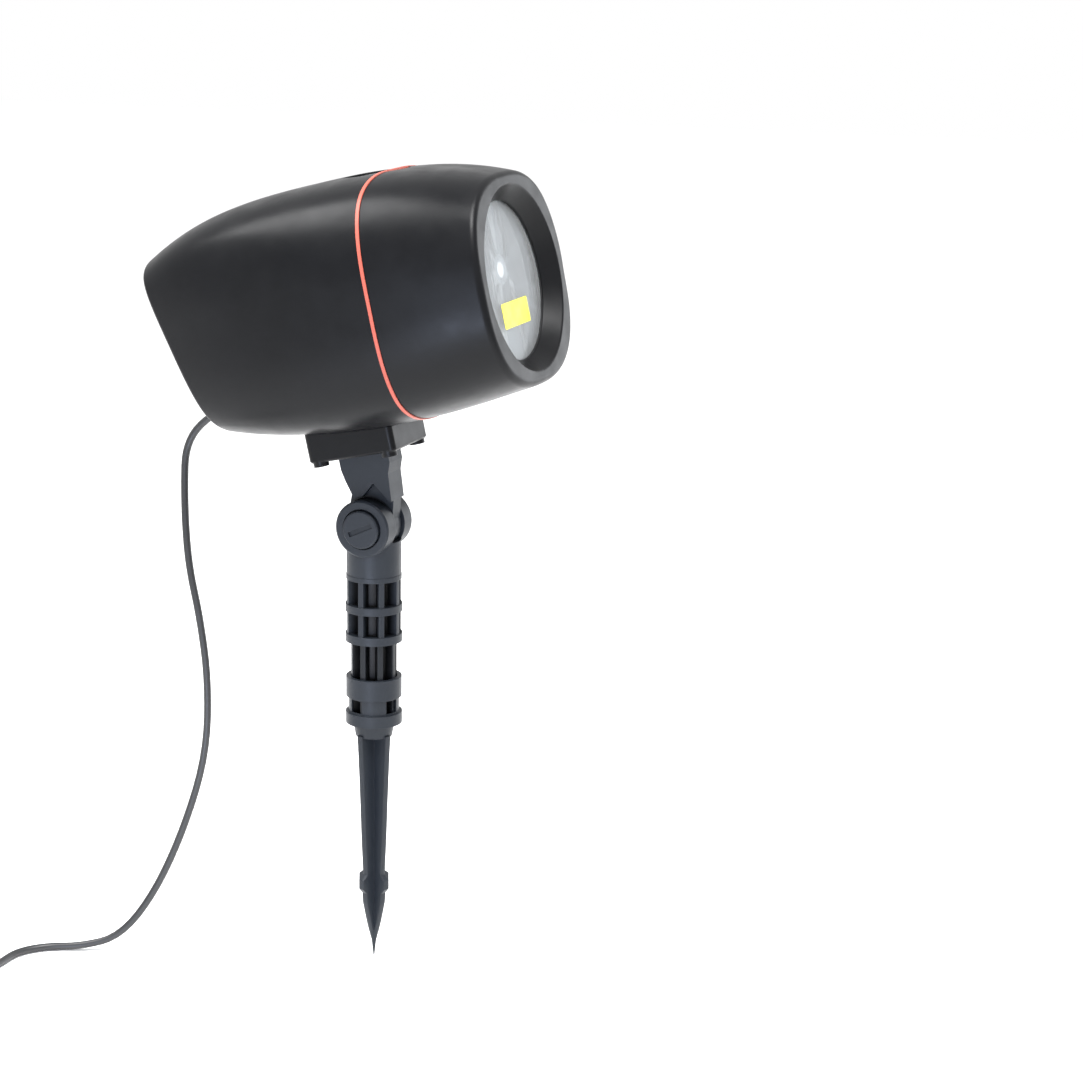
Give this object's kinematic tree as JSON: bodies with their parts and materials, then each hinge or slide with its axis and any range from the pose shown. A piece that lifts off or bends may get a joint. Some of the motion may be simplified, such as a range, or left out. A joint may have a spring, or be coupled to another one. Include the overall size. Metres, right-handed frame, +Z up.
{
  "type": "light projector stake",
  "caption": "Rounded garden light projector with a recessed round window and coloured seam band, tilting on a knuckle above a cross-bladed ground stake, with a coiled lead.",
  "frame": {"origin": "the stake's tip, on the axis of the stake and post", "axes": "+Z up the post, +X the way the beam points, Y along the tilt hinge; the beam sits 12.7 degrees above the horizontal at rest"},
  "size_m": [0.2938, 0.1992, 0.3677],
  "materials": {
    "casing_plastic": "satin moulded graphite",
    "slate_plastic": "satin moulded slate grey",
    "band_plastic": "semi-gloss orange red",
    "smoked_plastic": "smoked, satin",
    "sensor_epoxy": "clear amber face",
    "circuit_board": "green solder mask",
    "seal_rubber": "matte",
    "lead_sheath": "smooth satin sheath",
    "clear_glass": "polished",
    "label_film": "printed film, blank",
    "plate_plastic": "pale grey, satin",
    "lens_glass": "bright, polished",
    "black_plastic": "matte",
    "bracket_metal": "zinc plated sheet",
    "sink_metal": "extruded",
    "laser_brass": "turned",
    "grating_film": "clear ruled film",
    "screw_steel": "plated",
    "component_black": "matte",
    "button_rubber": "matte",
    "nylon": "natural",
    "connector_plastic": "moulded, satin",
    "contact_metal": "nickel plated"
  },
  "bodies": {
    "stake": {"ground_stake": "slate_plastic"},
    "post": {"upper_post": "slate_plastic", "hinge_bolt": "screw_steel", "friction_washers": "nylon", "cord_coil": "lead_sheath", "cord_connector": "connector_plastic", "connector_tip": "contact_metal"},
    "head": {"rear_shell": "casing_plastic", "front_shell": "casing_plastic", "seam_band": "band_plastic", "sensor_window": "smoked_plastic", "photocell": "sensor_epoxy", "sensor_board": "circuit_board", "window_gasket": "seal_rubber", "window_glass": "clear_glass", "window_label": "label_film", "backing_plate": "plate_plastic", "aperture_lens": "lens_glass", "retaining_ring": "black_plastic", "laser_bracket": "bracket_metal", "heat_sink": "sink_metal", "green_laser": "laser_brass", "red_laser": "laser_brass", "grating_frame": "black_plastic", "star_grating": "grating_film", "bracket_screws": "screw_steel", "casing_screws": "screw_steel", "driver_board": "circuit_board", "board_parts": "component_black", "board_screws": "screw_steel", "mode_switch": "component_black", "switch_board": "circuit_board", "cord_gland": "lead_sheath", "mount_shoe": "casing_plastic", "shoe_screws": "screw_steel", "tilt_neck": "slate_plastic", "power_cord": "lead_sheath"},
    "knob": {"thumb_knob": "slate_plastic", "knob_insert": "laser_brass"},
    "button": {"mode_button": "button_rubber"}
  },
  "joints": [
    {"name": "pan", "type": "hinge", "parent": "stake", "child": "post", "pos_m": [0, 0, 0.125], "axis": [0, 0, 1], "range_deg": [-180, 180]},
    {"name": "tilt", "type": "hinge", "parent": "post", "child": "head", "pos_m": [0, 0, 0.206], "axis": [0, -1, 0], "range_deg": [-35, 45]},
    {"name": "knob_turn", "type": "hinge", "parent": "post", "child": "knob", "pos_m": [0, -0.0135, 0.206], "axis": [0, -1, 0], "range_deg": [0, 360]},
    {"name": "button_press", "type": "slide", "parent": "head", "child": "button", "axis": [0.8625, 0, 0.506], "range_m": [0, 0.0015], "stiffness_N_per_m": 800}
  ]
}
